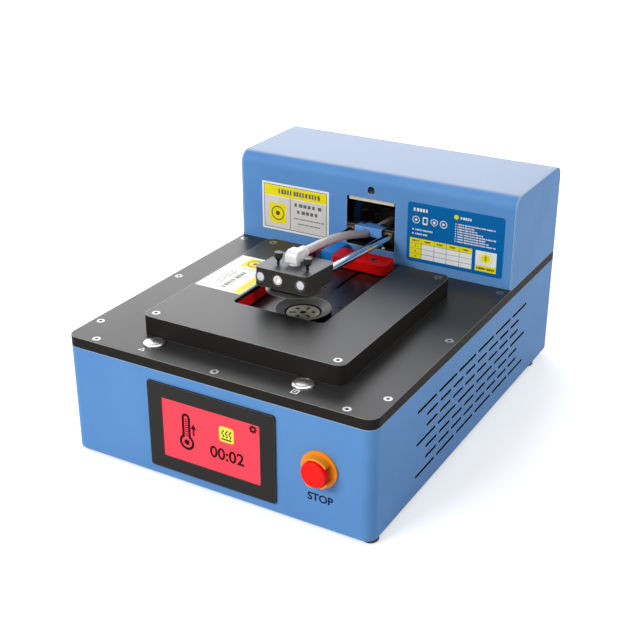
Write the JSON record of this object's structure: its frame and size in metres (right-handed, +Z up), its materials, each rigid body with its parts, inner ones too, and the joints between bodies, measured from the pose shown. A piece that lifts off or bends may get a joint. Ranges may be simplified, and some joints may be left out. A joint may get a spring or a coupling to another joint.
{
  "type": "lcd screen separator",
  "caption": "Desktop machine that warms a phone on a heated bed and lifts its screen with a vacuum cup on a tilting arm.",
  "frame": {"origin": "middle of the whole box at the floor, between the feet", "axes": "+Z up, +Y from the front panel to the rear panel, +X to the right as seen from the front"},
  "size_m": [0.3, 0.413, 0.2067],
  "materials": {
    "blue_paint": "satin powder coat",
    "zinc": "zinc plated",
    "foot_rubber": "matt",
    "steel": "bright",
    "polished_steel": "polished",
    "black_plate": "matt black coat",
    "black_frame": "black anodised",
    "bed_coating": "smooth dark release coat",
    "heater": "amber film",
    "ceramic": "unglazed ceramic",
    "cup_rubber": "matt",
    "cup_metal": "dull nickel",
    "bright_blue": "smooth",
    "bright_blue_metal": "satin",
    "guard_yellow": "smooth",
    "black_plastic": "fine grain",
    "bezel_grey": "satin",
    "screen": "lit display",
    "beige": "matt",
    "lens": "dark lens",
    "white_plastic": "smooth",
    "dark_metal": "black oxide",
    "motor_grey": "satin",
    "brass": "dull",
    "hose_grey": "soft hose",
    "board_green": "solder mask",
    "black_anodised": "black anodised",
    "red_paint": "satin red anodised",
    "stop_red": "smooth",
    "rocker_red": "smooth"
  },
  "bodies": {
    "machine": {"base_casing": "blue_paint", "bottom_plate": "zinc", "rear_panel": "blue_paint", "feet": "foot_rubber", "case_screws": "steel", "deck_plate": "black_plate", "countersunk_screws": "steel", "platform_frame": "black_frame", "bed_plate": "bed_coating", "heater_mat": "heater", "bed_spacers": "ceramic", "bed_tray": "zinc", "temperature_probe": "steel", "lower_cup": "cup_rubber", "lower_cup_disc": "cup_metal", "corner_block": "bright_blue", "stop_guard": "guard_yellow", "stop_body": "black_plastic", "display_bezel": "bezel_grey", "display_panel": "screen", "button_bodies": "steel", "housing_wrap": "blue_paint", "housing_caps": "blue_paint", "opening_strip": "beige", "sensor_lens": "lens", "down_stop": "white_plastic", "arm_cradle": "dark_metal", "pivot_bearings": "steel", "gear_motor": "motor_grey", "rotary_union": "brass", "inner_hose": "hose_grey", "vacuum_pump": "black_plastic", "solenoid_valve": "motor_grey", "power_supply": "zinc", "control_board": "board_green", "fan_frame": "black_plastic", "power_inlet": "black_plastic"},
    "arm": {"arm_carrier": "black_anodised", "pivot_shaft": "steel", "guide_rods": "polished_steel", "arm_yoke": "black_anodised", "rod_flanges": "brass", "hose_bracket": "bright_blue_metal", "arm_screws": "steel", "head_block": "black_anodised", "elbow_fitting": "white_plastic", "vacuum_hose": "hose_grey", "upper_cup": "cup_rubber", "cup_stem": "brass"},
    "thumb_left": {"thumb_screw_left": "dark_metal"},
    "thumb_right": {"thumb_screw_right": "dark_metal"},
    "side_clamp": {"side_clamp_bar": "red_paint", "side_clamp_pins": "polished_steel"},
    "rear_clamp": {"rear_clamp_block": "red_paint", "rear_clamp_slide": "dark_metal"},
    "push_left": {"button_cap_left": "polished_steel"},
    "push_right": {"button_cap_right": "polished_steel"},
    "stop": {"stop_head": "stop_red"},
    "fan": {"fan_rotor": "black_plastic"},
    "power_rocker": {"rocker": "rocker_red"}
  },
  "joints": [
    {"name": "arm_tilt", "type": "hinge", "parent": "machine", "child": "arm", "pos_m": [0, 0.15975, 0.1396], "axis": [-1, 0, 0], "range_deg": [-3.6, 14]},
    {"name": "thumb_left_turn", "type": "hinge", "parent": "arm", "child": "thumb_left", "pos_m": [-0.01265, -0.06581, 0.1702], "axis": [0, 0.0732, 0.9973], "continuous": true},
    {"name": "thumb_right_turn", "type": "hinge", "parent": "arm", "child": "thumb_right", "pos_m": [0.01705, -0.06581, 0.1702], "axis": [0, 0.0732, 0.9973], "continuous": true},
    {"name": "side_clamp_slide", "type": "slide", "parent": "machine", "child": "side_clamp", "axis": [1, 0, 0], "range_m": [0, 0.016]},
    {"name": "rear_clamp_slide", "type": "slide", "parent": "machine", "child": "rear_clamp", "axis": [0, -1, 0], "range_m": [0, 0.045]},
    {"name": "left_button_press", "type": "slide", "parent": "machine", "child": "push_left", "axis": [0, 0, -1], "range_m": [0, 0.0018], "stiffness_N_per_m": 600},
    {"name": "right_button_press", "type": "slide", "parent": "machine", "child": "push_right", "axis": [0, 0, -1], "range_m": [0, 0.0018], "stiffness_N_per_m": 600},
    {"name": "stop_press", "type": "slide", "parent": "machine", "child": "stop", "axis": [0, 1, 0], "range_m": [0, 0.003], "stiffness_N_per_m": 1500},
    {"name": "fan_spin", "type": "hinge", "parent": "machine", "child": "fan", "pos_m": [-0.092, 0.19495, 0.057], "axis": [0, 1, 0], "continuous": true},
    {"name": "rocker_tip", "type": "hinge", "parent": "machine", "child": "power_rocker", "pos_m": [0.096, 0.20195, 0.055], "axis": [-1, 0, 0], "range_deg": [0, 16]}
  ]
}
